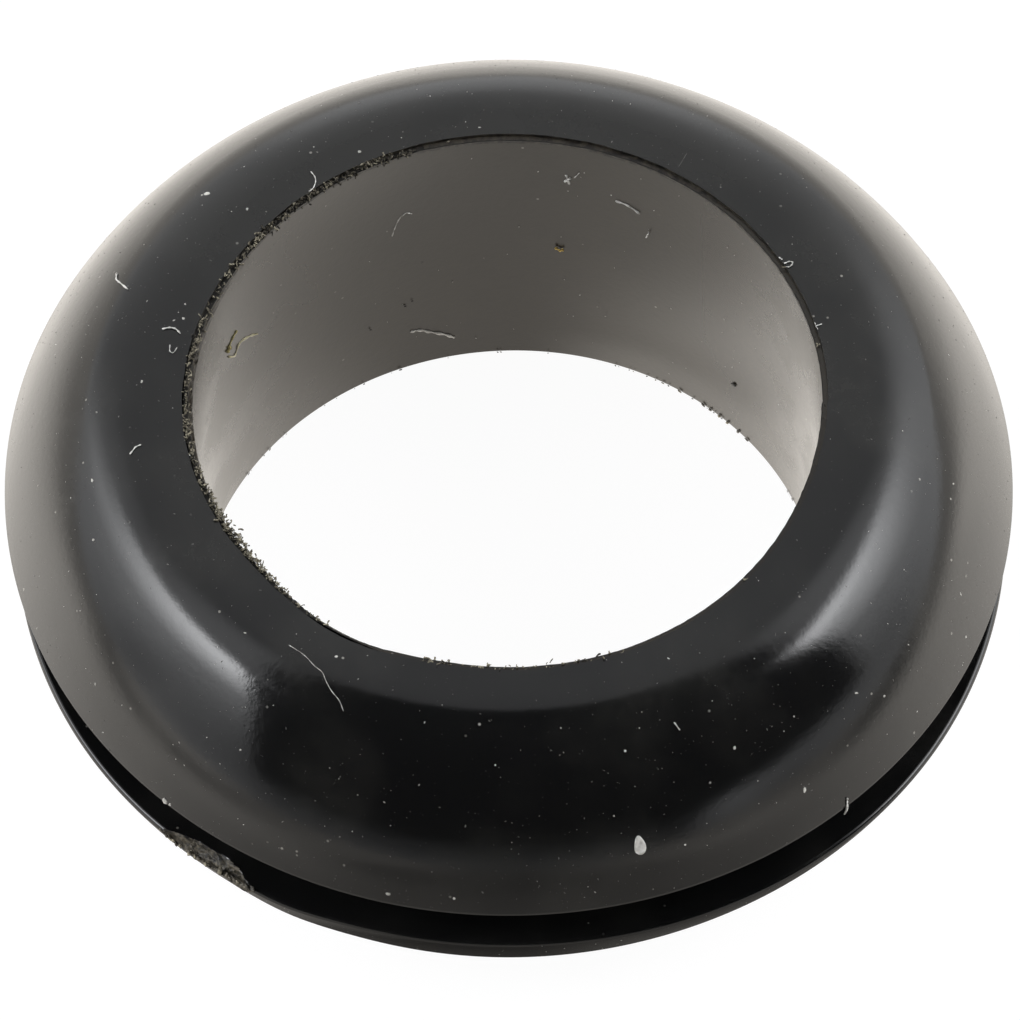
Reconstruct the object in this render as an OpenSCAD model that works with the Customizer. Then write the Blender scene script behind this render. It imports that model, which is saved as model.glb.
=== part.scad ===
// Rubber grommet: one moulded ring that lines a hole in sheet metal and guards what runs
// through it. Two domed flanges stand either side of a narrow groove that holds the sheet.
// The origin is the centre of the lower face, and +Z runs up the bore. Sizes in millimetres.

/* [Bore] */
// Diameter of the bore that the cable or hose runs through
bore_d = 15.9; // [13:0.1:17]
// Width of the step round the top of the bore, where the moulding web was trimmed out
trim_w = 0.15; // [0.05:0.05:0.3]
// Depth of that step below the top land
trim_depth = 0.1; // [0.05:0.05:0.3]

/* [Flanges] */
// Diameter of both flanges at their edges, where they are widest
flange_d = 25.6; // [24.8:0.1:28]
// Height of each flange, from the groove to its flat land
flange_h = 4.2; // [3.8:0.1:6]
// Width of the flat land round each end of the bore
land_w = 0.75; // [0.4:0.05:1]
// Radius of the shoulder that turns from the land into the side
shoulder_r = 2.9; // [2:0.1:3.1]
// Radius of the bulge of the side, from the shoulder to the edge
side_r = 8.9; // [7:0.1:14]
// Height of the narrow upright land at the edge, beside the groove
edge_h = 0.1; // [0.05:0.01:0.3]

/* [Groove] */
// Width of the groove, for the thickness of the sheet
groove_w = 1.5; // [1:0.1:3]
// Diameter of the groove's floor, for the hole in the sheet
groove_d = 20.6; // [18:0.1:22]
// Radius in both corners of the groove's floor
groove_r = 0.25; // [0.1:0.05:0.45]

/* [Torn chip] */
// Direction of the main bite of the chip in the lower flange's edge, anticlockwise from +X
chip_angle = 234.5; // [0:0.5:359.5]
// Length of that bite along the edge
chip_len = 2.4; // [1.5:0.1:4]
// Reach of that bite inward across the groove's wall
chip_in = 0.4; // [0.2:0.05:0.6]
// Reach of that bite down the flange's side
chip_down = 0.25; // [0.2:0.05:0.5]

/* [Hidden] */
facets = 180;
clear = 1;

bore_radius = bore_d / 2;
flange_radius = flange_d / 2;
height = 2 * flange_h + groove_w;
groove_mid = flange_h + groove_w / 2;

// Upper flange's outline, measured in the r-z half plane
land_end = bore_radius + land_w;
groove_top = flange_h + groove_w;
shoulder_at = [land_end, height - shoulder_r];
edge_at = [flange_radius, groove_top + edge_h];

// The side's arc runs through the edge and touches the shoulder's arc from outside, so its
// centre lies side_r from the edge and side_r - shoulder_r from the shoulder's centre
reach = side_r - shoulder_r;
apart = norm(edge_at - shoulder_at);
along = (reach * reach - side_r * side_r + apart * apart) / (2 * apart);
across = sqrt(reach * reach - along * along);
heading = (edge_at - shoulder_at) / apart;
side_at = shoulder_at + along * heading + across * [heading[1], -heading[0]];
shoulder_turn = heading_of(shoulder_at - side_at);
edge_turn = heading_of(edge_at - side_at);

// The chip is two shallow spherical bites. Each has its place along the edge from the
// main one, and its size, both as shares of the main one's.
chip_bites = [[0, 1], [-0.45, 0.7]];

function heading_of(v) = atan2(v[1], v[0]);

// Everything between two directions from the origin, out to past the part
module wedge(from, to) {
    far = 2 * flange_radius;
    polygon([[0, 0], far * [cos(from), sin(from)],
        far * sqrt(2) * [cos((from + to) / 2), sin((from + to) / 2)], far * [cos(to), sin(to)]]);
}

// Half section of a flange: land, shoulder, bulged side and edge. The shoulder's circle
// takes the place of the corner between its directions of tangency. Both circles are turned
// so that their facets meet where they touch.
module flange_section() {
    intersection() {
        translate([bore_radius, groove_top]) square([flange_radius - bore_radius, flange_h]);
        union() {
            difference() {
                translate(side_at) rotate(shoulder_turn) circle(r = side_r, $fn = 2 * facets);
                translate(shoulder_at) wedge(shoulder_turn, 90);
            }
            translate(shoulder_at) rotate(shoulder_turn) circle(r = shoulder_r, $fn = facets);
        }
    }
}

// Half section of the neck between the flanges, with the groove's corners filled to arcs
module neck_section() {
    floor_radius = groove_d / 2;
    translate([bore_radius, flange_h]) square([floor_radius - bore_radius, groove_w]);
    for (side = [-1, 1])
        translate([floor_radius, groove_mid + side * groove_w / 2])
            mirror([0, side > 0 ? 1 : 0])
                difference() {
                    square(groove_r);
                    translate([groove_r, groove_r]) circle(r = groove_r, $fn = facets);
                }
}

// Half section of the whole ring, with the trimmed step at the top of the bore
module ring_section() {
    difference() {
        union() {
            flange_section();
            translate([0, height]) mirror([0, 1]) flange_section();
            neck_section();
        }
        translate([bore_radius, height - trim_depth]) square([trim_w, trim_depth + clear]);
    }
}

// One bite out of the lower flange's edge. Its sphere meets the groove's wall in an arc
// of the bite's length and reach, and comes out of the side chip_down below the edge.
module bite(size) {
    half_len = size * chip_len / 2;
    inward = size * chip_in;
    down = size * chip_down;
    bow = inward - flange_radius * (1 - cos(asin(half_len / flange_radius)));
    plan_r = (half_len * half_len + bow * bow) / (2 * bow);
    plan_x = flange_radius - inward + plan_r;
    side_x = plan_x - flange_radius + (down - edge_h) * tan(edge_turn);
    rise = (plan_r * plan_r - side_x * side_x - down * down) / (2 * down);
    intersection() {
        translate([plan_x, 0, flange_h + rise]) sphere(norm([plan_r, rise]), $fn = facets);
        translate([flange_radius - clear, -chip_len, flange_h - clear])
            cube([2 * clear, 2 * chip_len, clear + groove_w / 2]);
    }
}

// The moulded ring with the first so many bites taken out of it, one after another
module torn_ring(bites) {
    if (bites == 0)
        rotate_extrude($fn = facets) ring_section();
    else {
        taken = chip_bites[bites - 1];
        turn = taken[0] * chip_len * 180 / (PI * flange_radius);
        difference() {
            torn_ring(bites - 1);
            rotate(chip_angle + turn) bite(taken[1]);
        }
    }
}

module grommet() {
    color([0.07, 0.07, 0.075]) torn_ring(len(chip_bites));
}

grommet();
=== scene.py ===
import math
import random

import bpy
import numpy as np
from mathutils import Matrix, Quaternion, Vector, noise


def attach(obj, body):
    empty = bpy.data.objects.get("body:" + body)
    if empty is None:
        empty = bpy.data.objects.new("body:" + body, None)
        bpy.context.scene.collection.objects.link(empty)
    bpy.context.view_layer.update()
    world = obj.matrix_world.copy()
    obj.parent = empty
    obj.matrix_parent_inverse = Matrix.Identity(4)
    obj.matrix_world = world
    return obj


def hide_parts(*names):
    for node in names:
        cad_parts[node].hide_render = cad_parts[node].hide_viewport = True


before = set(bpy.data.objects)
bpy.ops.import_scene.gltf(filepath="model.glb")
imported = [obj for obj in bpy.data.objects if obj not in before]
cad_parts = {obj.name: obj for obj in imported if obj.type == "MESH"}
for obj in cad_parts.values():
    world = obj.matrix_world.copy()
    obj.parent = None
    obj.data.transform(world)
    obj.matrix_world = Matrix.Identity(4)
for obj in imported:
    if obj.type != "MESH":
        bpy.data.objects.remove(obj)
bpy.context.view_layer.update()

MM = 0.001

# Sizes in millimetres, as in the solid. A section's places are a radius r and a height z.
# A direction round the part is an azimuth in degrees, anticlockwise from +X.
BORE_R = 7.95
# The step round the top of the bore, where the web was trimmed out
STEP_R = 8.10
STEP_Z = 9.80
HEIGHT = 9.90
LAND_END = 8.70
SHOULDER_R = 2.9
SIDE_R = 8.9
FLANGE_R = 12.8
GROOVE_LOW, GROOVE_TOP = 4.2, 5.7
GROOVE_R = 10.3
CORNER_R = 0.25
EDGE_LAND = 0.1
# Rounding of the upper and of the lower flange's edge, beside the groove
EDGE_R = 0.03
LOW_EDGE_R = 0.12
# Rounding of the bore's bottom rim
RIM_R = 0.04
# How far the bore is off centre at its far bottom
BORE_SHIFT = 0.14
# Range of azimuths that the chip lies in
CHIP_FROM, CHIP_TO = 224, 242
# Added to a height when it is compared, because heights that are the same may differ a little
SLACK = 0.01


def side_centre():
    """Centre of the side's arc, which runs through the edge and touches the shoulder's arc."""
    sx, sz = LAND_END, HEIGHT - SHOULDER_R
    ex, ez = FLANGE_R, GROOVE_TOP + EDGE_LAND
    apart = math.hypot(ex - sx, ez - sz)
    reach = SIDE_R - SHOULDER_R
    along = (reach ** 2 - SIDE_R ** 2 + apart ** 2) / (2 * apart)
    across = math.sqrt(reach ** 2 - along ** 2)
    hx, hz = (ex - sx) / apart, (ez - sz) / apart
    return sx + along * hx + across * hz, sz + along * hz - across * hx


SIDE_X, SIDE_Z = side_centre()
MEET = math.degrees(math.atan2(HEIGHT - SHOULDER_R - SIDE_Z, LAND_END - SIDE_X))


def line(r0, z0, r1, z1, steps, zone):
    """A straight run of the section, with the material's side on the right hand."""
    length = math.hypot(r1 - r0, z1 - z0)
    n = ((z1 - z0) / -length, (r1 - r0) / length)
    shares = [t / steps for t in range(steps + 1)]
    return [(r0 + (r1 - r0) * t, z0 + (z1 - z0) * t, n[0], n[1], zone) for t in shares]


def arc(cr, cz, radius, a0, a1, steps, zone, hollow=False):
    """An arc of the section, from direction a0 to a1 in degrees."""
    out = []
    k = -1 if hollow else 1
    for i in range(steps + 1):
        a = math.radians(a0 + (a1 - a0) * i / steps)
        c, s = math.cos(a), math.sin(a)
        out.append((cr + radius * c, cz + radius * s, k * c, k * s, zone))
    return out


def flange_outline(rounder=False):
    """A flange from its land to the corner of the groove's floor, each run a list of points.

    The rounder one has a fillet between its side and the groove's wall, and no upright land."""
    corner = GROOVE_R + CORNER_R
    if rounder:
        low = GROOVE_TOP + LOW_EDGE_R
        inner = SIDE_X + math.sqrt((SIDE_R - LOW_EDGE_R) ** 2 - (low - SIDE_Z) ** 2)
        edge_turn = math.degrees(math.atan2(low - SIDE_Z, inner - SIDE_X))
        edge = [arc(inner, low, LOW_EDGE_R, edge_turn, -90, 9, "skin")]
    else:
        low = GROOVE_TOP + EDGE_R
        inner = FLANGE_R - EDGE_R
        edge_turn = math.degrees(math.atan2(GROOVE_TOP + EDGE_LAND - SIDE_Z, FLANGE_R - SIDE_X))
        edge = [
            line(FLANGE_R, GROOVE_TOP + EDGE_LAND, FLANGE_R, low, 3, "skin"),
            arc(inner, low, EDGE_R, 0, -90, 4, "skin"),
        ]
    finer_from = edge_turn + 2.4
    return [
        line(STEP_R, HEIGHT, LAND_END, HEIGHT, 5, "skin"),
        arc(LAND_END, HEIGHT - SHOULDER_R, SHOULDER_R, 90, MEET, 22, "skin"),
        arc(SIDE_X, SIDE_Z, SIDE_R, MEET, finer_from, 16, "skin"),
        arc(SIDE_X, SIDE_Z, SIDE_R, finer_from, edge_turn, 10, "skin"),
    ] + edge + [
        line(inner, GROOVE_TOP, inner - 0.5, GROOVE_TOP, 12, "skin"),
        line(inner - 0.5, GROOVE_TOP, corner, GROOVE_TOP, 4, "skin"),
        arc(corner, GROOVE_TOP - CORNER_R, CORNER_R, 90, 180, 4, "skin", hollow=True),
    ]


def section():
    """The whole ring's section, once round: the upper flange, the groove, the lower flange
    and up the bore's wall."""
    upper = flange_outline()
    lower = []
    for run in reversed(flange_outline(rounder=True)):
        lower.append([(r, HEIGHT - z, nr, -nz, zone) for r, z, nr, nz, zone in reversed(run)])
    floor = [line(GROOVE_R, GROOVE_TOP - CORNER_R, GROOVE_R, GROOVE_LOW + CORNER_R, 2, "skin")]
    lower[-1] = line(LAND_END, 0, BORE_R + RIM_R, 0, 6, "skin")
    bore = [
        arc(BORE_R + RIM_R, RIM_R, RIM_R, 270, 180, 3, "bore"),
        line(BORE_R, RIM_R, BORE_R, STEP_Z - 0.2, 22, "bore"),
        line(BORE_R, STEP_Z - 0.2, BORE_R, STEP_Z - 0.1, 2, "bore"),
        line(BORE_R, STEP_Z - 0.1, BORE_R, STEP_Z, 2, "cut"),
        line(BORE_R, STEP_Z, BORE_R + 0.03, STEP_Z, 1, "torn"),
        line(BORE_R + 0.03, STEP_Z, STEP_R, STEP_Z, 3, "ledge"),
        line(STEP_R, STEP_Z, STEP_R, HEIGHT, 2, "cut"),
    ]
    return upper + floor + lower + bore


def ease(value, start, end):
    """Goes smoothly from 0 to 1 as the value goes from start to end."""
    share = min(max((value - start) / (end - start), 0.0), 1.0)
    return share * share * (3 - 2 * share)


def bump(az, centre, reach):
    """A smooth rise round a direction: 1 there, and near 0 at twice the reach."""
    return math.exp(-((az - centre) / reach) ** 2)


def droop(r, z, az):
    """Moves a point of the lower flange down and inward: it hangs a little, and its edge is
    a little narrower than the upper one's, most of all at the front, the back and the left."""
    bend = ease(r, GROOVE_R, 12.2) * ease(z, 1.0, 3.5) * (z < GROOVE_LOW + SLACK)
    a = math.radians(az)
    narrower = 0.2 - 0.11 * math.sin(2 * a) ** 2 - 0.05 * math.cos(a)
    narrower -= 0.08 * bump(az, 243, 6)
    return r - narrower * bend, z - 0.16 * bend


def rim_out(az):
    """How much further out the bore's top rim lies, mostly at the left and the front left."""
    left = 0.17 * bump(az, 239, 12) + 0.16 * bump(az, 183, 30)
    return left + 0.03 * bump(az, 285, 25) - 0.05 * bump(az, 342, 20)


def azimuths():
    """Directions of the mesh's columns in degrees: close together where the chip is."""
    out, a = [], 0.0
    while a < 360 - 1e-6:
        out.append(a)
        a += 0.2 if CHIP_FROM - 1 <= a < CHIP_TO + 1 else 0.9
    return np.array(out)


# Materials
class Tree:
    """Short names for the nodes that the materials are made of."""

    def __init__(self, owner):
        owner.use_nodes = True
        self.tree = owner.node_tree
        self.tree.nodes.clear()

    def node(self, kind, **settings):
        n = self.tree.nodes.new(kind)
        for k, v in settings.items():
            setattr(n, k, v)
        return n

    def put(self, socket, value):
        if isinstance(value, bpy.types.NodeSocket):
            self.tree.links.new(value, socket)
        elif value is not None:
            socket.default_value = value

    def math(self, op, a, b=None, c=None):
        n = self.node("ShaderNodeMath", operation=op)
        for s, v in zip(n.inputs, (a, b, c)):
            self.put(s, v)
        return n.outputs[0]

    def dot(self, a, direction):
        n = self.node("ShaderNodeVectorMath", operation="DOT_PRODUCT")
        self.put(n.inputs[0], a)
        self.put(n.inputs[1], direction)
        return n.outputs["Value"]

    def step(self, value, start, end, low=0.0, high=1.0):
        """Goes smoothly from low to high as the value goes from start to end."""
        n = self.node("ShaderNodeMapRange", interpolation_type="SMOOTHSTEP")
        values = {"Value": value, "From Min": start, "From Max": end, "To Min": low, "To Max": high}
        for name, v in values.items():
            self.put(n.inputs[name], v)
        return n.outputs["Result"]

    def mix(self, factor, a, b):
        n = self.node("ShaderNodeMix", data_type="RGBA")
        self.put(n.inputs["Factor"], factor)
        self.put(n.inputs[6], a)
        self.put(n.inputs[7], b)
        return n.outputs[2]

    def noise(self, where, scale, detail, rough):
        n = self.node("ShaderNodeTexNoise")
        self.put(n.inputs["Vector"], where)
        n.inputs["Scale"].default_value = scale
        n.inputs["Detail"].default_value = detail
        n.inputs["Roughness"].default_value = rough
        return n.outputs["Fac"]

    def place(self):
        """The place on the piece, in metres."""
        return self.node("ShaderNodeTexCoord").outputs["Object"]

    def bump(self, height, distance, strength=1.0, under=None):
        """The normal of a surface whose relief is distance high, over another relief's normal."""
        n = self.node("ShaderNodeBump")
        n.inputs["Strength"].default_value = strength
        n.inputs["Distance"].default_value = distance
        self.put(n.inputs["Height"], height)
        self.put(n.inputs["Normal"], under)
        return n.outputs["Normal"]

    def surface(self, shader):
        """Ends the material in this shader."""
        out = self.node("ShaderNodeOutputMaterial")
        self.put(out.inputs["Surface"], shader.outputs[0])


def rgb(r, g, b):
    return (r, g, b, 1.0)


def specks(t, where, scale, size, share):
    """Tiny round specks: up to 1 inside one. Size is a share of a cell, and share says how
    many of the cells have one."""
    v = t.node("ShaderNodeTexVoronoi", feature="F1")
    t.put(v.inputs["Vector"], where)
    v.inputs["Scale"].default_value = scale
    sep = t.node("ShaderNodeSeparateColor")
    t.put(sep.inputs[0], v.outputs["Color"])
    inside = t.step(v.outputs["Distance"], size, size * 0.5)
    some = t.math("LESS_THAN", sep.outputs[0], share)
    return t.math("MULTIPLY", inside, t.math("MULTIPLY", some, sep.outputs[1]))


def rubber(name, colour, dusty, rough, rough_dusty, dust, pebble):
    """Moulded rubber: dark, with a faint film of dust in patches, lighter and rougher toward the back,
    fine specks and a fine pebble."""
    mat = bpy.data.materials.new(name)
    t = Tree(mat)
    where = t.place()
    film = t.step(t.noise(where, 260, 5, 0.6), 0.42, 0.68)
    grain = t.noise(where, 5200, 3, 0.6)
    film = t.math("MULTIPLY", film, t.step(grain, 0.3, 0.7, 0.5, 1.0))
    back = t.node("ShaderNodeSeparateXYZ")
    t.put(back.inputs[0], where)
    # Lighter and rougher toward the back (+Y), set by position alone
    film = t.math("ADD", film, t.step(back.outputs[1], -0.004, 0.009, 0.0, 0.75))
    base = t.mix(film, colour, dusty)
    fine_dots = specks(t, where, 2600, 0.12, 0.3 * dust)
    dots = t.math("ADD", fine_dots, specks(t, where, 1100, 0.05, 0.5 * dust))
    base = t.mix(t.math("MINIMUM", dots, 0.8), base, rgb(0.3, 0.29, 0.26))
    shader = t.node("ShaderNodeBsdfPrincipled")
    t.put(shader.inputs["Base Color"], base)
    film_rough = t.step(film, 0.0, 1.0, rough, rough_dusty)
    t.put(shader.inputs["Roughness"], t.math("ADD", film_rough, t.math("MULTIPLY", dots, 0.3)))
    shader.inputs["IOR"].default_value = 1.5
    shader.inputs["Specular IOR Level"].default_value = 0.5
    soft = t.bump(t.noise(where, 260, 1, 0.4), 0.00004, 0.12)
    fine = t.bump(grain, 0.0000025 * pebble, 1.0, under=soft)
    fine = t.bump(t.noise(where, 15000, 2, 0.6), 0.0000007 * pebble, 1.0, under=fine)
    t.put(shader.inputs["Normal"], fine)
    t.surface(shader)
    return mat


def rough_stuff(name, dark, pale, scale, rough, distance, specular=0.5):
    """Torn rubber, crumbs, lint and specks: mottled between two colours, rough and uneven."""
    mat = bpy.data.materials.new(name)
    t = Tree(mat)
    where = t.place()
    blotch = t.step(t.noise(where, scale, 4, 0.65), 0.35, 0.65)
    shader = t.node("ShaderNodeBsdfPrincipled")
    t.put(shader.inputs["Base Color"], t.mix(blotch, dark, pale))
    shader.inputs["Roughness"].default_value = rough
    shader.inputs["Specular IOR Level"].default_value = specular
    t.put(shader.inputs["Normal"], t.bump(t.noise(where, scale * 2.5, 3, 0.6), distance))
    t.surface(shader)
    return mat


skin = rubber("rubber_skin", rgb(0.006, 0.0061, 0.0062), rgb(0.016, 0.0158, 0.0145),
              0.12, 0.2, 0.5, 1.0)
wall = rubber("rubber_bore", rgb(0.015, 0.0118, 0.0078), rgb(0.03, 0.0245, 0.017),
              0.2, 0.3, 0.3, 1.2)
torn = rough_stuff("rubber_torn", rgb(0.004, 0.0036, 0.003), rgb(0.018, 0.016, 0.013),
                   6000, 0.5, 0.00002, 0.3)
chip = rough_stuff("rubber_chip", rgb(0.007, 0.0063, 0.0045), rgb(0.13, 0.113, 0.083),
                   5200, 0.5, 0.000025)
crumb_dark = rough_stuff("crumb_dark", rgb(0.012, 0.01, 0.007), rgb(0.07, 0.06, 0.04),
                         9000, 0.6, 0.00001, 0.4)
crumb_pale = rough_stuff("crumb_pale", rgb(0.09, 0.078, 0.055), rgb(0.34, 0.31, 0.23),
                         9000, 0.6, 0.00001, 0.4)
fibre = rough_stuff("fibre", rgb(0.5, 0.49, 0.46), rgb(0.8, 0.79, 0.76),
                    3000, 0.5, 0.000005, 0.3)
fibre_tan = rough_stuff("fibre_tan", rgb(0.4, 0.36, 0.2), rgb(0.6, 0.55, 0.4),
                        3000, 0.6, 0.000005, 0.3)
speck_yellow = rough_stuff("speck_yellow", rgb(0.7, 0.5, 0.14), rgb(0.8, 0.6, 0.22),
                           3000, 0.6, 0.000005, 0.3)
olive = rough_stuff("olive", rgb(0.24, 0.2, 0.08), rgb(0.42, 0.37, 0.18),
                    3000, 0.6, 0.000005, 0.3)
dust_pale = rough_stuff("dust_pale", rgb(0.4, 0.39, 0.36), rgb(0.65, 0.64, 0.6),
                        2500, 0.7, 0.000005, 0.3)
dust_dim = rough_stuff("dust_dim", rgb(0.07, 0.07, 0.065), rgb(0.16, 0.155, 0.145),
                       2500, 0.7, 0.000005, 0.3)
cut = rough_stuff("rubber_cut", rgb(0.008, 0.007, 0.006), rgb(0.05, 0.043, 0.033),
                  5000, 0.4, 0.00001, 0.4)
ZONES = {"skin": 0, "bore": 1, "torn": 2, "chip": 3, "cut": 4}


# The moulded ring
# Inner boundary of the torn chip on the groove's lower wall: azimuth and radius
CHIP_EDGE = [
    (225.4, 12.80), (226.3, 12.72), (228.1, 12.56), (229.8, 12.45), (232.0, 12.42), (233.3, 12.39),
    (234.7, 12.38), (236.1, 12.46), (237.2, 12.57), (238.2, 12.71), (239.0, 12.80),
]
# How far down the flange's side the chip reaches: azimuth and depth
CHIP_DEPTH = [(225, 0.2), (227, 0.5), (230, 0.42), (235, 0.3), (241, 0.16)]
# The chip touches nothing inside this radius or further below the groove's wall than this
CHIP_INSIDE = 12.2
CHIP_LOWEST = 0.8
# The flange is whole where the boundary of the chip is outside this radius
CHIP_OUTSIDE = 12.79


def value_at(table, az, **ends):
    """The value of a table of azimuths and values, at an azimuth."""
    return float(np.interp(az, [row[0] for row in table], [row[1] for row in table], **ends))


def lower_side(z):
    """Radius of the lower flange's side at a height."""
    return SIDE_X + math.sqrt(SIDE_R ** 2 - (HEIGHT - z - SIDE_Z) ** 2)


def tear(r, z, az):
    """Moves a point of the lower flange's edge onto the chip's torn face. Says whether it moved."""
    inner = value_at(CHIP_EDGE, az, left=99, right=99)
    inner += 0.03 * noise.noise(Vector((az * 1.7, 0, 3)))
    if inner > CHIP_OUTSIDE:
        return r, z, False
    depth = value_at(CHIP_DEPTH, az) * min(1.0, (FLANGE_R - inner) / 0.2)
    depth += 0.05 * noise.noise(Vector((az * 1.1, 5, 0)))
    low_z = GROOVE_LOW - max(depth, 0.02)
    dr, dz = lower_side(low_z) - inner, low_z - GROOVE_LOW
    length = math.hypot(dr, dz)
    nr, nz = -dz / length, dr / length
    out = (r - inner) * nr + (z - GROOVE_LOW) * nz
    if out <= 0:
        return r, z, False
    arc_len = math.radians(az) * 12.6
    dent = 0.09 * noise.noise(Vector((arc_len * 2.6, r * 5, z * 5)))
    dent += 0.05 * noise.noise(Vector((arc_len * 9, r * 12, z * 12)))
    move = out + max(min(dent + 0.02, 0.12), -0.03) * min(1, out / 0.05)
    return r - move * nr, z - move * nz, True


def ledge_zone(az):
    """What the ledge of the trimmed step is made of: torn, cleanly cut or smooth."""
    if 105 < az < 238:
        return "torn"
    return "cut" if 48 < az <= 105 else "bore"


def trim_line(r, z, az):
    """Moves a point of the bore's top rim to where the web was cut, along a wavy line."""
    heavy = 1 + 2.5 * bump(az, 200, 30)
    arc_len = math.radians(az) * BORE_R
    wave = noise.noise(Vector((arc_len * 1.6, 0, 7)))
    wave += 0.6 * noise.noise(Vector((arc_len * 5, 1, 7)))
    fine = noise.noise(Vector((arc_len * 14, 2, z * 9)))
    moved_r = r + rim_out(az) * ease(z, STEP_Z - 0.3, STEP_Z)
    if r > STEP_R - 0.02:
        return moved_r + 0.02 * wave + 0.006 * fine, z
    if z > STEP_Z - 0.2:
        return moved_r + heavy * (0.012 * wave + 0.012 * fine), z + heavy * 0.006 * wave
    return moved_r, z


def place_row(r, z, az):
    """Places of a row of the section all round the ring, and which of them the chip moved."""
    cols = len(az)
    rr, zz, moved = np.full(cols, r), np.full(cols, z), np.zeros(cols, bool)
    low_flange = z < GROOVE_LOW + SLACK
    for j, a in enumerate(az):
        near_edge = low_flange and abs(z - GROOVE_LOW) < CHIP_LOWEST and r > CHIP_INSIDE
        if near_edge and CHIP_FROM < a < CHIP_TO:
            rr[j], zz[j], moved[j] = tear(r, z, a)
        if r < STEP_R + 0.001 and z > STEP_Z - 0.3:
            rr[j], zz[j] = trim_line(r, z, a)
        if r > GROOVE_R and low_flange:
            rr[j], zz[j] = droop(rr[j], zz[j], a)
    ca, sa = np.cos(np.radians(az)), np.sin(np.radians(az))
    x, y = rr * ca, rr * sa
    if r < BORE_R + 0.1 and z < STEP_Z:
        shift = (1 - z / STEP_Z) * np.clip(sa, 0, 1)
        x = x + BORE_SHIFT * shift
        x, y = x * (1 + 0.006 * shift), y * (1 + 0.007 * shift)
    return np.stack([x, y, zz], 1), moved


def around(grid):
    """A value of each face's four corners, in their order, from a value of each point."""
    up = np.roll(grid, -1, 0)
    return grid, up, np.roll(up, -1, 1), np.roll(grid, -1, 1)


def unit(vectors):
    return vectors / np.maximum(np.linalg.norm(vectors, axis=2, keepdims=True), 1e-12)


def ring():
    """The ring, in rows along the section and columns round it, with the chip and the cut rim."""
    rows, spans = [], []
    for run in section():
        rows += [(p[0], p[1]) for p in (run[1:] if rows else run)]
        spans += zip(run, run[1:])
    rows.pop()
    az = azimuths()
    count, cols = len(rows), len(az)
    placed = [place_row(r, z, az) for r, z in rows]
    pts = np.array([row for row, _ in placed])
    corners = around(pts)
    facing = unit(np.cross(corners[2] - corners[0], corners[3] - corners[1]))
    torn_away = np.sum(around(np.array([moved for _, moved in placed])), axis=0)
    torn_normals = facing * (torn_away > 0)[..., None]
    torn_normals = torn_normals + np.roll(torn_normals, 1, 0)
    torn_normals = unit(torn_normals + np.roll(torn_normals, 1, 1))
    ca, sa = np.cos(np.radians(az)), np.sin(np.radians(az))
    faces, mats, normals = [], [], []
    for i, (n0, n1) in enumerate(spans):
        i2 = (i + 1) % count
        for j in range(cols):
            j2 = (j + 1) % cols
            faces.append((i * cols + j, i2 * cols + j, i2 * cols + j2, i * cols + j2))
            zone = n0[4]
            if torn_away[i, j]:
                normals += [torn_normals[a, b] for a, b in ((i, j), (i2, j), (i2, j2), (i, j2))]
            elif zone in ("torn", "cut"):
                normals += [facing[i, j]] * 4
            else:
                for p, k in ((n0, j), (n1, j), (n1, j2), (n0, j2)):
                    normals.append((p[2] * ca[k], p[2] * sa[k], p[3]))
            if zone == "ledge":
                zone = ledge_zone(az[j])
            mats.append(ZONES["chip" if torn_away[i, j] >= 3 else zone])
    mesh = bpy.data.meshes.new("grommet_body")
    mesh.from_pydata([tuple(v) for v in (pts * MM).reshape(-1, 3)], [], faces)
    for m in (skin, wall, torn, chip, cut):
        mesh.materials.append(m)
    mesh.polygons.foreach_set("material_index", mats)
    mesh.update()
    mesh.normals_split_custom_set([tuple(n) for n in normals])
    obj = bpy.data.objects.new("grommet_body", mesh)
    bpy.context.collection.objects.link(obj)
    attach(obj, "root")
    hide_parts("grommet")


# Places on the surface
def outer_path():
    """Points along the upper flange from the land's inner edge to its edge, with the run so far."""
    points, run = [], 0.0
    for part in flange_outline()[:4]:
        for p in part:
            if points:
                run += math.hypot(p[0] - points[-1][1], p[1] - points[-1][2])
            points.append((run, p[0], p[1], p[2], p[3]))
    return np.array(points)


OUTER = outer_path()
EDGE_RUN = float(OUTER[-1, 0])


def on_outer(az, run, lift=0.0, lower=False):
    """A point and its normal on the domed outside, run mm out from the land's inner edge."""
    r, z, nr, nz = (float(np.interp(run, OUTER[:, 0], OUTER[:, k])) for k in (1, 2, 3, 4))
    if lower:
        r, z = droop(r, HEIGHT - z, az)
        nz = -nz
    a = math.radians(az)
    n = Vector((nr * math.cos(a), nr * math.sin(a), nz)).normalized()
    return Vector((r * math.cos(a), r * math.sin(a), z)) + n * lift, n


def on_bore(az, z, lift=0.0):
    """A point and its normal on the bore's wall."""
    a = math.radians(az)
    n = Vector((-math.cos(a), -math.sin(a), 0))
    return Vector((BORE_R * math.cos(a), BORE_R * math.sin(a), z)) + n * lift, n


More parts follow.
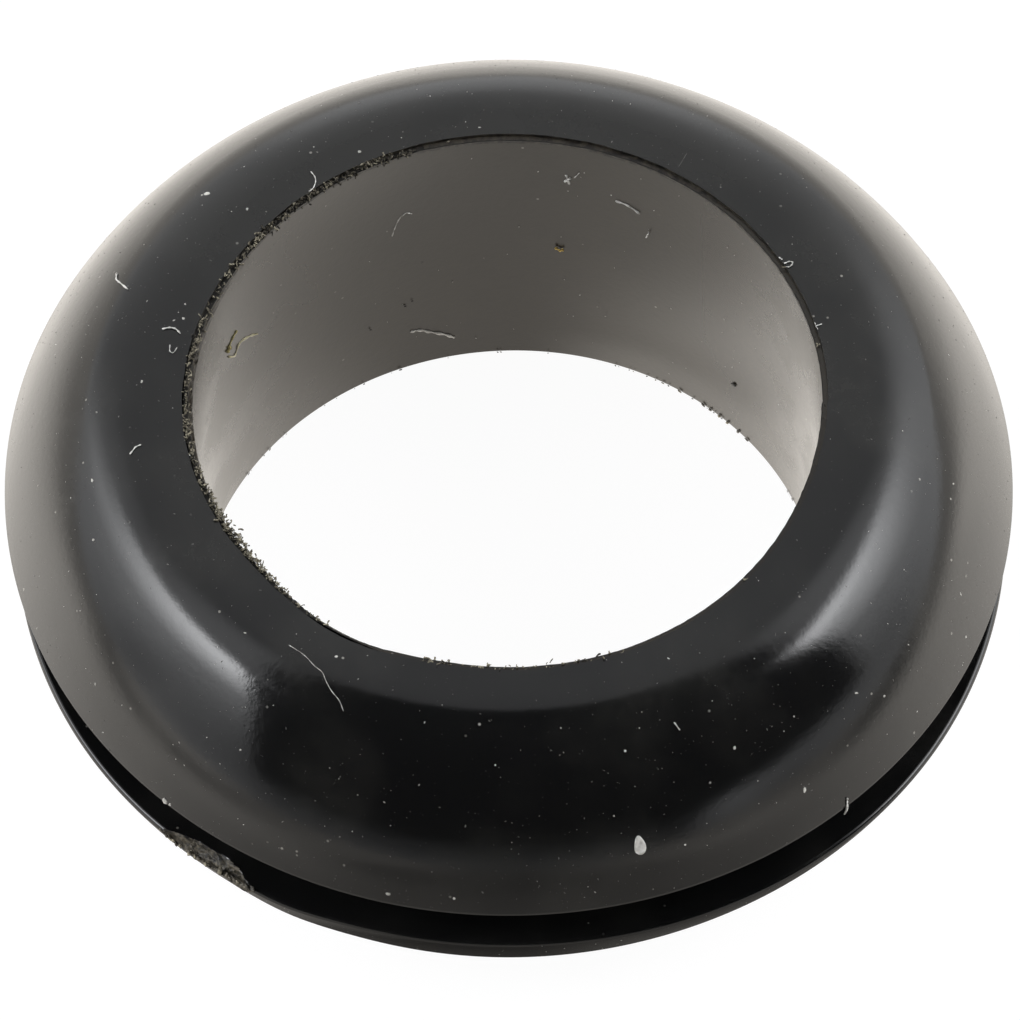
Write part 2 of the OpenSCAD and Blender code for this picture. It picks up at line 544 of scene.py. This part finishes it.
class Heap:
    """Many small bits gathered into one mesh piece. Points are in millimetres."""

    def __init__(self):
        self.verts, self.faces, self.mats = [], [], []

    def ring_of(self, centre, u, v, radius, sides):
        start = len(self.verts)
        for k in range(sides):
            a = 2 * math.pi * k / sides
            self.verts.append(centre + u * (radius * math.cos(a)) + v * (radius * math.sin(a)))
        return start

    def tube(self, points, radii, sides=6, mat=0):
        """A closed tube through the points, with flat ends."""
        pts = [Vector(p) for p in points]
        side = None
        rings = []
        for i, p in enumerate(pts):
            d = (pts[min(i + 1, len(pts) - 1)] - pts[max(i - 1, 0)]).normalized()
            side = d.orthogonal() if side is None else side - d * side.dot(d)
            side.normalize()
            rings.append(self.ring_of(p, side, d.cross(side), radii[i], sides))
        first = len(self.verts)
        self.verts += [pts[0] * 1.0, pts[-1] * 1.0]
        for a, b in zip(rings, rings[1:]):
            for k in range(sides):
                q = (k + 1) % sides
                self.faces.append((a + k, a + q, b + q, b + k))
        for k in range(sides):
            q = (k + 1) % sides
            self.faces.append((rings[0] + q, rings[0] + k, first))
            self.faces.append((rings[-1] + k, rings[-1] + q, first + 1))
        self.mats += [mat] * (len(self.faces) - len(self.mats))

    def flake(self, centre, n, size, draw, stretch=1.0, thick=0.3, sides=7, mat=0):
        """An irregular low mound, lying on the surface: a fleck of dust or a chip."""
        u = n.orthogonal().normalized()
        v = n.cross(u)
        turn = draw.uniform(0, 2 * math.pi)
        u, v = u * math.cos(turn) + v * math.sin(turn), v * math.cos(turn) - u * math.sin(turn)
        base = len(self.verts)
        shape = [draw.uniform(0.7, 1.15) for _ in range(sides)]
        for level, share in ((-0.4 * thick, 1.0), (0.45 * thick, 0.85)):
            for k in range(sides):
                a = 2 * math.pi * k / sides
                q = size * share * shape[k]
                flat = u * (q * stretch * math.cos(a)) + v * (q * math.sin(a))
                self.verts.append(centre + flat + n * (size * level))
        self.verts.append(centre + n * (size * thick))
        top = len(self.verts) - 1
        for k in range(sides):
            q = (k + 1) % sides
            self.faces.append((base + k, base + q, base + sides + q, base + sides + k))
            self.faces.append((base + sides + k, base + sides + q, top))
        self.faces.append(tuple(base + k for k in reversed(range(sides))))
        self.mats += [mat] * (len(self.faces) - len(self.mats))

    def piece(self, name, materials, smooth=True):
        mesh = bpy.data.meshes.new(name)
        mesh.from_pydata([tuple(v * MM) for v in self.verts], [], self.faces)
        for m in materials:
            mesh.materials.append(m)
        mesh.polygons.foreach_set("material_index", self.mats)
        mesh.polygons.foreach_set("use_smooth", [smooth] * len(self.faces))
        mesh.update()
        obj = bpy.data.objects.new(name, mesh)
        bpy.context.collection.objects.link(obj)
        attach(obj, "root")
        return obj


def smooth_path(points, per=6):
    """A smooth curve through the points."""
    pts = [Vector(p) for p in points]
    ends = [pts[0] * 2 - pts[1]] + pts + [pts[-1] * 2 - pts[-2]]
    out = []
    for i in range(1, len(ends) - 2):
        a, b, c, d = ends[i - 1:i + 3]
        for k in range(per):
            t = k / per
            even = b * 2 + (a * 2 - b * 5 + c * 4 - d) * t * t
            out.append(0.5 * (even + (c - a) * t + (b * 3 - a - c * 3 + d) * t ** 3))
    return out + [pts[-1]]


# Crumbs, flash and shreds of rubber
def crumbs():
    """Crumbs and curls on the bore's top rim, where the web was cut out."""
    draw = random.Random(11)
    heap = Heap()

    def shaving(start, reach, pale):
        """A short curl that stands off the rim."""
        d = Vector((draw.uniform(-1, 1), draw.uniform(-1, 1), draw.uniform(-0.3, 0.9))).normalized()
        bend = Vector((draw.uniform(-1, 1), draw.uniform(-1, 1), draw.uniform(-1, 1)))
        p, pts = Vector(start), []
        steps = draw.choice((3, 4, 4, 5))
        for _ in range(steps + 1):
            pts.append(p.copy())
            p = p + d * (reach / steps)
            d = (d + bend * 0.55).normalized()
        thick = draw.uniform(0.01, 0.03)
        radii = [thick * draw.uniform(0.6, 1.2) for _ in pts]
        heap.tube(pts, radii, 4, int(draw.random() < pale))

    def cluster(az, count, out, spread, pale=0.6):
        """Curls scattered round a direction, some of them out past the rim toward the bore."""
        for _ in range(count):
            a = math.radians(az + draw.gauss(0, spread))
            rim = BORE_R + 0.14 + rim_out(math.degrees(a))
            r = rim - abs(draw.gauss(0, out)) - draw.uniform(0, 0.12)
            z = STEP_Z + draw.uniform(-0.14, 0.12)
            shaving((r * math.cos(a), r * math.sin(a), z), draw.uniform(0.05, 0.15), pale)

    # The strip round the left: thickest at the front left, and thin at two places
    az = 108.0
    while az < 236:
        heavy = bump(az, 211, 13)
        bare = 1 - 0.75 * bump(az, 157, 9) - 0.45 * bump(az, 176, 9)
        light = 0.5 + 0.45 * noise.noise(Vector((az * 0.21, 3, 1)))
        level = max(heavy, light * bare if az < 205 else 0.15)
        count = int(1 + 19 * level * draw.uniform(0.5, 1.2))
        cluster(az, count, 0.02 + 0.085 * heavy, 0.5, 0.35 if az < 142 else 0.85)
        az += 0.7
    single = (
        (248.6, 3), (255.0, 12), (256.5, 9), (258.3, 5), (266, 3),
        (275, 2), (101, 3), (30, 3), (12, 2), (318, 3),
    )
    for az, count in single:
        cluster(az, count, 0.02, 0.4)
    for az in np.arange(256, 291, 0.45):
        cluster(az, 1, 0.015, 0.25, 0.8)
    heap.piece("rim_crumbs", [crumb_dark, crumb_pale])


# The larger lumps of flash, by azimuth, and the dark marks: azimuth, height and size
LUMPS = (41, 43.4, 46.2, 48.3, 50.5, 52.1, 54.6, 57.5)
MARKS = ((44.4, 2.1, 0.075), (110.0, 2.9, 0.035), (108.6, 3.05, 0.03), (117.0, 2.4, 0.03))


def flash():
    """Lumps of flash along the far bottom rim of the bore, and a few dark marks on its wall."""
    draw = random.Random(5)
    heap = Heap()
    lumps = [(az, draw.uniform(0.03, 0.055)) for az in LUMPS]
    lumps += [(draw.uniform(25, 150), draw.uniform(0.012, 0.03)) for _ in range(34)]
    for az, size in lumps:
        p, n = on_bore(az, 0.05 + size * 0.3)
        p.x += BORE_SHIFT * max(math.sin(math.radians(az)), 0)
        stretch = draw.uniform(1.2, 2.0)
        heap.flake(p, n, size, draw, stretch=stretch, thick=0.35, sides=8, mat=draw.choice((0, 0, 1)))
    for az, z, size in MARKS:
        p, n = on_bore(az, z)
        p.x += BORE_SHIFT * (1 - z / STEP_Z) * max(math.sin(math.radians(az)), 0)
        heap.flake(p, n, size, draw, stretch=1.3, thick=0.25, sides=9, mat=2)
    heap.piece("bottom_flash", [wall, crumb_pale, torn])


# The flap at the chip's right end, and the shreds: azimuth and reach outward, depth of the
# flap's root below the groove's wall, and depth of the shreds
FLAP_REACH = [(234.6, 0.01), (236, 0.08), (237.2, 0.14), (238.2, 0.15), (239.4, 0.01)]
FLAP_ROOT = [(234.6, 0.2), (236, 0.16), (239.4, 0.02)]
SHRED_DEPTH = [(225, 0.1), (228, 0.36), (232, 0.32), (236, 0.22), (238.6, 0.08)]


def flap():
    """Shreds of torn rubber along the chip's lower edge, and a flap out at its right end."""
    draw = random.Random(8)
    heap = Heap()
    for k, az in enumerate(np.arange(234.6, 239.41, 0.4)):
        reach = value_at(FLAP_REACH, az)
        ragged = 0.45 * noise.noise(Vector((az * 1.3, 4, 2)))
        reach *= 1 + ragged + 0.3 * noise.noise(Vector((az * 3.7, 4, 2)))
        z_top = GROOVE_LOW - value_at(FLAP_ROOT, az)
        a = math.radians(az)
        corners = ((-0.10, -0.05), (0.0, 0.02), (0.55 * reach, 0.8 * reach), (-0.05, 0.8 * reach + 0.08))
        for out_by, down_by in corners:
            r, z = droop(lower_side(z_top - max(down_by, 0)) + out_by, z_top - down_by, az)
            heap.verts.append(Vector((r * math.cos(a), r * math.sin(a), z)))
        if k:
            b = 4 * k
            for c in range(4):
                e = (c + 1) % 4
                heap.faces.append((b - 4 + c, b - 4 + e, b + e, b + c))
    last = len(heap.verts) - 4
    heap.faces += [(3, 2, 1, 0), (last, last + 1, last + 2, last + 3)]
    heap.mats = [0] * len(heap.faces)
    for _ in range(46):
        az = draw.uniform(225.4, 238.6)
        drop = value_at(SHRED_DEPTH, az) * draw.uniform(0.55, 1.1)
        r, z = droop(lower_side(GROOVE_LOW - drop) - draw.uniform(0.0, 0.05), GROOVE_LOW - drop, az)
        a = math.radians(az)
        n = Vector((math.cos(a), math.sin(a), draw.uniform(-0.2, 0.8))).normalized()
        size, stretch = draw.uniform(0.03, 0.075), draw.uniform(1.0, 2.2)
        pale = int(draw.random() < 0.3)
        heap.flake(Vector((r * math.cos(a), r * math.sin(a), z)), n, size, draw,
                   stretch=stretch, thick=0.5, sides=6, mat=pale)
    heap.piece("torn_flap", [chip, crumb_pale])


# Fibres on the top and the outside: points as azimuth and run from the land's inner edge, then
# radius, lift and material, which is a place in the list that lint() gives its piece
HAIR = [(232.9, 1.10), (235.9, 1.12), (238.3, 1.24), (239.9, 1.30), (241.1, 1.46), (242.6, 1.64),
        (244.2, 1.78), (245.4, 1.99)]
TOP_FIBRES = [
    (HAIR, 0.008, 0.02, 0),
    ([(155.4, 3.1), (156.6, 2.96), (157.4, 2.74), (158.9, 2.32)], 0.026, 0.03, 0),
    ([(166.0, 0.93), (165.5, 0.76), (165.5, 0.6), (166.2, 0.45)], 0.026, 0.03, 0),
    ([(125.7, 0.46), (125.8, 0.26), (126.4, 0.12), (127.5, 0.02), (128.5, -0.02)], 0.015, 0.03, 0),
    ([(188.9, 1.60), (188.0, 1.43), (187.8, 1.28)], 0.02, 0.03, 0),
    ([(168.8, 0.63), (170.0, 0.6), (170.2, 0.5), (169.1, 0.44)], 0.014, 0.03, 0),
    ([(293.7, 2.27), (294.1, 2.5)], 0.018, 0.03, 0),
    ([(58.4, 0.2), (58.6, 0.6), (58.9, 1.14)], 0.006, -0.001, 3),
    ([(30.3, 0.02), (30.2, 0.15), (29.7, 0.22), (29.2, 0.1), (29.5, 0.0)], 0.02, 0.03, 0),
    ([(31.9, -0.02), (31.2, 0.03)], 0.022, 0.03, 0),
    ([(15.5, -0.1), (15.7, 0.02), (15.8, 0.16)], 0.016, 0.03, 0),
    ([(16.4, -0.06), (15.6, 0.0), (14.9, 0.02)], 0.013, 0.03, 0),
    ([(311.9, EDGE_RUN - 0.2), (311.7, EDGE_RUN - 0.1), (311.6, EDGE_RUN)], 0.026, 0.03, 0),
]
# The end of the last of them, which hangs off the edge: azimuth, radius, height and thickness
HANGING = [(311.6, 12.82, 5.78, 0.035), (311.4, 12.85, 5.66, 0.03), (311.1, 12.84, 5.52, 0.018)]
# Fibres on the bore's wall: points as azimuth and height, then as above
WALL_FIBRES = [
    ([(111.8, 6.3), (111.3, 6.6), (110.3, 7.0), (109.0, 7.15), (107.9, 7.05)], 0.022, -0.004, 0),
    ([(108.3, 1.62), (106.4, 1.56), (104.6, 1.38), (101.8, 1.12), (100.0, 0.9)], 0.045, -0.012, 0),
    ([(69.8, 7.75), (67.4, 7.72), (65.0, 7.55)], 0.03, -0.008, 0),
    ([(63.6, 6.6), (63.0, 6.9)], 0.018, 0.02, 0),
    ([(79.5, 8.1), (78.3, 8.32)], 0.036, -0.01, 0),
    ([(78.6, 8.04), (79.2, 8.42)], 0.032, -0.008, 0),
    ([(77.6, 8.4), (76.7, 8.66)], 0.014, 0.02, 0),
    ([(153.7, 6.6), (151.3, 6.22), (149.7, 6.46), (146.3, 6.2), (143.6, 5.85)], 0.032, 0.02, 1),
    ([(153.9, 7.0), (151.9, 7.15), (150.4, 7.2)], 0.03, 0.02, 4),
    ([(154.2, 6.9), (153.6, 7.0), (153.2, 6.92)], 0.06, 0.02, 4),
    ([(81.2, 5.05), (80.3, 4.95), (79.7, 5.0)], 0.04, 0.02, 2),
]


def lint():
    """The fibres on the part, and a scratch on its land."""
    heap = Heap()
    for fibres, place in ((TOP_FIBRES, on_outer), (WALL_FIBRES, on_bore)):
        for points, radius, lift, mat in fibres:
            pts = smooth_path([place(*point, lift)[0] for point in points])
            radii = [radius * (0.8 + 0.3 * math.sin(i * 1.3)) for i in range(len(pts))]
            heap.tube(pts, radii, 6, mat)
        if place is on_outer:
            turns = [math.radians(az) for az, _, _, _ in HANGING]
            pts = [(r * math.cos(a), r * math.sin(a), z) for a, (_, r, z, _) in zip(turns, HANGING)]
            heap.tube(pts, [thick for _, _, _, thick in HANGING], 6, 0)
    heap.piece("lint", [fibre, fibre_tan, speck_yellow, dust_dim, olive])


# The specks that the photo shows one by one: azimuth, run, size and stretch
SPECKS = [
    (227.1, EDGE_RUN - 0.01, 0.09, 1.3), (227.9, EDGE_RUN - 0.02, 0.05, 1.2),
    (300.4, 3.51, 0.045, 1.3), (309.6, 3.6, 0.03, 1.0), (256.0, 6.5, 0.05, 1.6),
    (263.6, 6.34, 0.04, 1.2), (163.0, 0.5, 0.04, 1.2), (160.2, 0.6, 0.028, 1.0),
    (176.0, 1.2, 0.035, 1.5), (240.5, 0.75, 0.045, 1.2), (198.0, 3.3, 0.04, 1.4),
    (212.0, 5.6, 0.03, 1.3), (226.0, 1.5, 0.03, 1.5), (283.0, 4.2, 0.03, 1.0),
    (322.0, 4.9, 0.035, 1.2), (340.0, 5.2, 0.03, 1.6), (190.0, 2.8, 0.035, 1.8),
    (268.0, 2.6, 0.028, 1.0), (291.0, 5.5, 0.03, 1.2), (234.0, 4.1, 0.028, 1.4),
    (140.0, 2.1, 0.03, 1.2), (352.0, 3.8, 0.03, 1.4), (139.5, 1.99, 0.07, 1.5),
    (138.6, 0.72, 0.04, 1.1), (116.4, 0.35, 0.045, 1.2), (307.1, 5.55, 0.045, 2.0),
    (318.8, 4.22, 0.035, 2.0), (286.0, 2.6, 0.035, 1.0), (336.9, 6.1, 0.04, 1.2),
]


def dust():
    """Flecks of dust all over, and the specks of the list."""
    draw = random.Random(29)
    heap = Heap()
    for _ in range(3200):
        az = draw.uniform(0, 360)
        p, n = on_outer(az, EDGE_RUN * draw.random() ** 0.75)
        size = 0.006 + 0.014 * draw.random() ** 4
        stretch = draw.choice((1, 1, 1, 1.5, 2.4))
        dim = int(draw.random() < 0.8)
        heap.flake(p, n, size, draw, stretch=stretch, thick=0.5, sides=5, mat=dim)
    for _ in range(260):
        p, n = on_bore(draw.uniform(0, 360), draw.uniform(0.3, 9.4))
        size, stretch = 0.008 + 0.012 * draw.random() ** 2, draw.choice((1, 1.5, 2))
        heap.flake(p, n, size, draw, stretch=stretch, thick=0.4, sides=5)
    for _ in range(200):
        p, n = on_outer(draw.uniform(0, 360), EDGE_RUN * draw.uniform(0.5, 1), lower=True)
        size, stretch = 0.008 + 0.012 * draw.random() ** 2, draw.choice((1, 1.5, 2))
        heap.flake(p, n, size, draw, stretch=stretch, thick=0.4, sides=5)
    for az, run, size, stretch in SPECKS:
        p, n = on_outer(az, run)
        heap.flake(p, n, size, draw, stretch=stretch, thick=0.5, sides=7)
    heap.piece("dust", [dust_pale, dust_dim], smooth=False)


def pale_speck():
    """The pale flake on the front of the upper flange, a teardrop with a raised rim."""
    heap = Heap()
    centre, n = on_outer(285.6, 5.15)
    side = Vector((0, 0, 1)).cross(n).normalized()
    up = n.cross(side)
    half_width, half_height = 0.15, 0.28
    rings, sides = [], 16
    for share, lift in ((1.0, -0.02), (0.93, 0.045), (0.7, 0.05), (0.4, 0.025)):
        rings.append(len(heap.verts))
        for k in range(sides):
            a = 2 * math.pi * k / sides
            w = half_width * (1 + 0.25 * math.sin(a)) * (1 + 0.07 * math.sin(3 * a + 1))
            across = side * (share * w * math.cos(a))
            along = up * (share * half_height * math.sin(a))
            heap.verts.append(centre + across - along + n * (lift + 0.01 * math.sin(2 * a)))
    heap.verts.append(centre + n * 0.02)
    for a, b in zip(rings, rings[1:]):
        for k in range(sides):
            q = (k + 1) % sides
            heap.faces.append((a + k, a + q, b + q, b + k))
    for k in range(sides):
        heap.faces.append((rings[-1] + k, rings[-1] + (k + 1) % sides, len(heap.verts) - 1))
    heap.faces.append(tuple(reversed(range(sides))))
    heap.mats = [0] * len(heap.faces)
    heap.piece("pale_speck", [fibre])


ring()
crumbs()
flash()
flap()
lint()
dust()
pale_speck()


# Camera
ELEVATION = math.radians(56.7)
DISTANCE = 0.8745
TARGET = Vector((0, 0, 0.0099))
AIM = Vector((0.00003, -0.00332, 0.0099))
ROLL = -0.0039
SENSOR_WIDTH = 36.0
LENS = 1220.2


def camera():
    data = bpy.data.cameras.new("camera")
    data.sensor_width = SENSOR_WIDTH
    data.lens = LENS
    data.clip_start, data.clip_end = 0.05, 20.0
    obj = bpy.data.objects.new("camera", data)
    bpy.context.collection.objects.link(obj)
    eye = TARGET + Vector((0, -math.cos(ELEVATION), math.sin(ELEVATION))) * DISTANCE
    obj.location = eye
    obj.rotation_mode = "QUATERNION"
    obj.rotation_quaternion = (AIM - eye).to_track_quat("-Z", "Y") @ Quaternion((0, 0, 1), ROLL)
    bpy.context.scene.camera = obj


# Floor, light tent and world
def toward(az, el):
    """The direction with an azimuth and an elevation in degrees."""
    a, e = math.radians(az), math.radians(el)
    return Vector((math.cos(e) * math.cos(a), math.cos(e) * math.sin(a), math.sin(e)))


def by_angle(t, d, az, el, start, end, low, high):
    """Goes from low to high as the angle between d and a direction goes from start to end degrees."""
    at_start, at_end = math.cos(math.radians(start)), math.cos(math.radians(end))
    return t.step(t.dot(d, toward(az, el)), at_start, at_end, low, high)


def glow_at(t, d, az, el, reach, level):
    """A round soft glow on the tent, full in its middle and gone at 1.9 times the reach."""
    return t.step(t.dot(d, toward(az, el)), math.cos(1.9 * reach), math.cos(0.1 * reach), 0.0, level)


def lamp(t, d, az, el, roll, top, blur, far, near_side, fall, level):
    """A lamp behind the tent. Its patch has a soft upper edge, fades downward from it and fades
    sideways from its near side to its far one. All are measured across the lamp's own direction."""
    c = toward(az, el)
    u = Vector((0, 0, 1)).cross(c).normalized()
    v = c.cross(u)
    turn = math.radians(roll)
    u, v = u * math.cos(turn) + v * math.sin(turn), v * math.cos(turn) - u * math.sin(turn)
    facing = t.dot(d, c)
    f = t.math("MAXIMUM", facing, 0.05)
    across = t.math("DIVIDE", t.dot(d, u), f)
    height = t.math("DIVIDE", t.dot(d, v), f)
    below = t.math("MINIMUM", t.math("SUBTRACT", height, top), 0.0)
    strength = t.math("EXPONENT", t.math("DIVIDE", below, fall))
    strength = t.math("MULTIPLY", strength, t.step(height, top + blur, top - blur))
    strength = t.math("MULTIPLY", strength, t.step(across, far, near_side))
    strength = t.math("MULTIPLY", strength, t.step(facing, 0.2, 0.5))
    return t.math("MULTIPLY", strength, level)


# Lamps behind the tent: azimuth, elevation, roll, upper edge, its blur, far side, near side,
# fall and level
LAMPS = [
    (200.7, 43.3, 12.6, 0.05, 0.07, -0.9, 0.14, 0.2, 12.0),
    (171.6, 26.8, 35, 0.0, 0.27, -1.1, 0.6, 0.16, 6.7),
    (20.0, 41.7, -15.6, 0.05, 0.12, 0.28, -0.31, 0.19, 14.0),
    (16.0, 10.6, 9.3, 0.4, 0.29, 0.6, 0.19, 0.2, 2.2),
]
# Soft glows round them: azimuth, elevation, reach in radians and level
GLOWS = [
    (169, 26, 0.27, 0.6),
    (27, 21, 0.31, 1.1),
    (90, 8, 0.2, 0.8),
    (192, 55, 0.2, 0.9),
    (206, -2, 0.19, 0.35),
    (19, 55, 0.16, 0.8),
]
TENT_RADIUS = 0.45
TENT_TINT = rgb(0.97, 0.98, 1.0)
# Light that the part's matt side gets from the opening, as the room behind the camera gives it
OPENING_FILL = 0.3


def tent_opening(t, d, up):
    """1 on the tent and 0 in its opening: a round one above the front, widened down to a sill."""
    round_part = by_angle(t, d, 275, 57, 39.7, 41.7, 0.0, 1.0)
    left_post = t.step(t.dot(d, toward(312, 20)), -0.015, 0.015)
    right_post = t.step(t.dot(d, toward(257.5, 0)), -0.05, 0.05)
    upright = t.math("MULTIPLY", t.step(up, 0.09, 0.16), t.step(up, 0.81, 0.72))
    front_part = t.math("MULTIPLY", t.math("MULTIPLY", left_post, right_post), upright)
    return t.math("MULTIPLY", round_part, t.math("SUBTRACT", 1.0, front_part))


def tent_level(t, d, up):
    """How bright the tent is, without its opening: brighter to the back and near the floor."""
    level = t.step(t.dot(d, toward(90, -10)), -1.0, 0.3, 0.12, 0.66)
    level = t.math("ADD", level, t.step(t.dot(d, toward(90, 0)), 0.6, 1.0, 0.0, 0.3))
    low = t.math("MULTIPLY", t.step(up, 0.12, -0.04, 0.0, 0.35), by_angle(t, d, 315, 3, 26, 8, 1.0, 0.15))
    level = t.math("ADD", level, low)
    level = t.math("MULTIPLY", level, by_angle(t, d, 313, 4, 20, 6, 1.0, 0.5))
    for values in LAMPS:
        level = t.math("ADD", level, lamp(t, d, *values))
    for values in GLOWS:
        level = t.math("ADD", level, glow_at(t, d, *values))
    return level


def grid_piece(name, verts, faces, mat):
    """A mesh of the stage, which gives light only where a ray meets it."""
    mesh = bpy.data.meshes.new(name)
    mesh.from_pydata(verts, [], faces)
    mat.cycles.emission_sampling = "NONE"
    mesh.materials.append(mat)
    obj = bpy.data.objects.new(name, mesh)
    bpy.context.collection.objects.link(obj)
    return obj


def tent():
    """A white tent round the part, lit from the left and the right, with an opening for the camera."""
    verts, faces = [], []
    rings, cols = 24, 64
    for i in range(rings + 1):
        for j in range(cols):
            verts.append(toward(360 * j / cols, -4 + 94 * i / rings) * TENT_RADIUS)
    for i in range(rings):
        for j in range(cols):
            k = (j + 1) % cols
            faces.append((i * cols + j, (i + 1) * cols + j, (i + 1) * cols + k, i * cols + k))
    mat = bpy.data.materials.new("tent")
    t = Tree(mat)
    norm = t.node("ShaderNodeVectorMath", operation="NORMALIZE")
    t.put(norm.inputs[0], t.place())
    d = norm.outputs[0]
    up = t.dot(d, Vector((0, 0, 1)))
    opening = tent_opening(t, d, up)
    level = t.math("MULTIPLY", tent_level(t, d, up), opening)
    fill = t.math("MULTIPLY", t.node("ShaderNodeLightPath").outputs["Is Diffuse Ray"], OPENING_FILL)
    level = t.math("ADD", level, t.math("MULTIPLY", fill, t.math("SUBTRACT", 1.0, opening)))
    glow = t.node("ShaderNodeEmission")
    glow.inputs["Color"].default_value = TENT_TINT
    t.put(glow.inputs["Strength"], level)
    t.surface(glow)
    grid_piece("tent", verts, faces, mat).visible_camera = False


# Light patches on the floor in metres: x, y, width, depth and level
FLOOR_PATCHES = [
    (0.0, 0.06, 0.0137, 0.053, 0.96),
    (-0.035, 0.0056, 0.063, 0.0147, 1.55),
    (-0.0415, -0.0245, 0.0235, 0.0235, 1.25),
    (0.044, 0.0148, 0.031, 0.008, 0.73),
    (0.048, -0.0095, 0.03, 0.0445, 1.07),
]
FLOOR_TINT = rgb(1.0, 0.95, 0.88)
# What the camera sees of the floor: its glow, and the matt share that takes the shadow
FLOOR_SEEN = 0.955
FLOOR_MATT = 0.1


def floor_light(t, x, y, radius):
    """The light that comes off the floor onto the part, with the part's shadow on it."""
    level = t.step(y, -0.027, 0.002, 0.27, 0.9)
    for px, py, width, depth, strength in FLOOR_PATCHES:
        qx = t.math("DIVIDE", t.math("SUBTRACT", x, px), width)
        qy = t.math("DIVIDE", t.math("SUBTRACT", y, py), depth)
        q = t.math("ADD", t.math("MULTIPLY", qx, qx), t.math("MULTIPLY", qy, qy))
        patch = t.math("EXPONENT", t.math("MULTIPLY", q, -1.0))
        level = t.math("ADD", level, t.math("MULTIPLY", patch, strength))
    # The far floor at both sides of the front, and at the far left
    both_sides = t.step(t.math("ABSOLUTE", x), 0.025, 0.045)
    front = t.step(y, -0.03, -0.06, 0.0, 0.5)
    level = t.math("ADD", level, t.math("MULTIPLY", front, both_sides))
    far_left = t.step(t.math("ADD", x, t.math("ABSOLUTE", y)), -0.01, -0.1, 0.0, 0.95)
    level = t.math("ADD", level, t.math("MULTIPLY", far_left, t.step(y, -0.008, -0.03)))
    # The part's shadow, darkest where the part stands
    wide_x = t.math("MULTIPLY", t.math("SUBTRACT", x, 0.0008), 1.35)
    open_to = t.math("SQRT", t.math("ADD", t.math("MULTIPLY", wide_x, wide_x), t.math("MULTIPLY", y, y)))
    level = t.math("MULTIPLY", level, t.step(open_to, 0.0159, 0.0366, 0.71, 1.0))
    level = t.math("MULTIPLY", level, t.step(open_to, 0.0115, 0.015))
    return t.math("MULTIPLY", level, t.step(radius, 0.0132, 0.0188, 0.3, 1.0))


def bore_light(t, x, y, radius):
    """The light that comes off the floor inside the bore, with a dark ring near its back."""
    ring_x = t.math("MULTIPLY", t.math("SUBTRACT", radius, 0.0071), 3300)
    shade = t.math("EXPONENT", t.math("MULTIPLY", t.math("MULTIPLY", ring_x, ring_x), -1.0))
    shade = t.math("MULTIPLY", shade, t.step(y, 0.0046, 0.0054, 0.0, 0.7))
    right = t.math("MULTIPLY", t.step(x, 0.0002, 0.0035), t.math("SUBTRACT", 1.0, shade))
    left = t.step(x, -0.002, -0.0075, 0.0, 0.75)
    level = t.math("ADD", t.math("ADD", right, left), 0.85)
    return t.math("MULTIPLY", level, t.step(radius, 0.0088, 0.0080, 0.05, 1.0))


def ground():
    """White floor. The camera sees it white, with the part's soft shadow. The part is lit by
    the light that comes off it."""
    half, cells = 6.0, 12
    places = [-half + 2 * half * i / cells for i in range(cells + 1)]
    verts = [(x, y, 0.0) for y in places for x in places]
    n = cells + 1
    starts = [j * n + i for j in range(cells) for i in range(cells)]
    faces = [(a, a + 1, a + n + 1, a + n) for a in starts]
    mat = bpy.data.materials.new("floor")
    t = Tree(mat)
    sep = t.node("ShaderNodeSeparateXYZ")
    t.put(sep.inputs[0], t.place())
    x, y = sep.outputs[0], sep.outputs[1]
    radius = t.math("SQRT", t.math("ADD", t.math("MULTIPLY", x, x), t.math("MULTIPLY", y, y)))
    lit = t.node("ShaderNodeEmission")
    lit.inputs["Color"].default_value = FLOOR_TINT
    level = t.math("MAXIMUM", floor_light(t, x, y, radius), bore_light(t, x, y, radius))
    t.put(lit.inputs["Strength"], level)
    white = t.node("ShaderNodeEmission")
    white.inputs["Color"].default_value = rgb(1, 1, 1)
    white.inputs["Strength"].default_value = FLOOR_SEEN
    matt = t.node("ShaderNodeBsdfDiffuse")
    matt.inputs["Color"].default_value = rgb(FLOOR_MATT, FLOOR_MATT, FLOOR_MATT)
    seen = t.node("ShaderNodeAddShader")
    t.put(seen.inputs[0], white.outputs[0])
    t.put(seen.inputs[1], matt.outputs[0])
    both = t.node("ShaderNodeMixShader")
    t.put(both.inputs[0], t.node("ShaderNodeLightPath").outputs["Is Camera Ray"])
    t.put(both.inputs[1], lit.outputs[0])
    t.put(both.inputs[2], seen.outputs[0])
    t.surface(both)
    grid_piece("floor", verts, faces, mat)


def backdrop():
    """A world that shows white to the camera and in reflections, and lights the part dimly."""
    world = bpy.data.worlds.new("world")
    bpy.context.scene.world = world
    t = Tree(world)
    path = t.node("ShaderNodeLightPath")
    through = t.math("MAXIMUM", path.outputs["Is Glossy Ray"], path.outputs["Is Transmission Ray"])
    seen = t.math("MAXIMUM", path.outputs["Is Camera Ray"], through)
    sky = t.node("ShaderNodeBackground")
    sky.inputs["Color"].default_value = rgb(1, 1, 1)
    t.put(sky.inputs["Strength"], t.step(seen, 0.0, 1.0, 0.3, 1.0))
    out = t.node("ShaderNodeOutputWorld")
    t.put(out.inputs["Surface"], sky.outputs[0])


camera()
tent()
ground()
backdrop()
bpy.context.scene.view_settings.view_transform = "Standard"
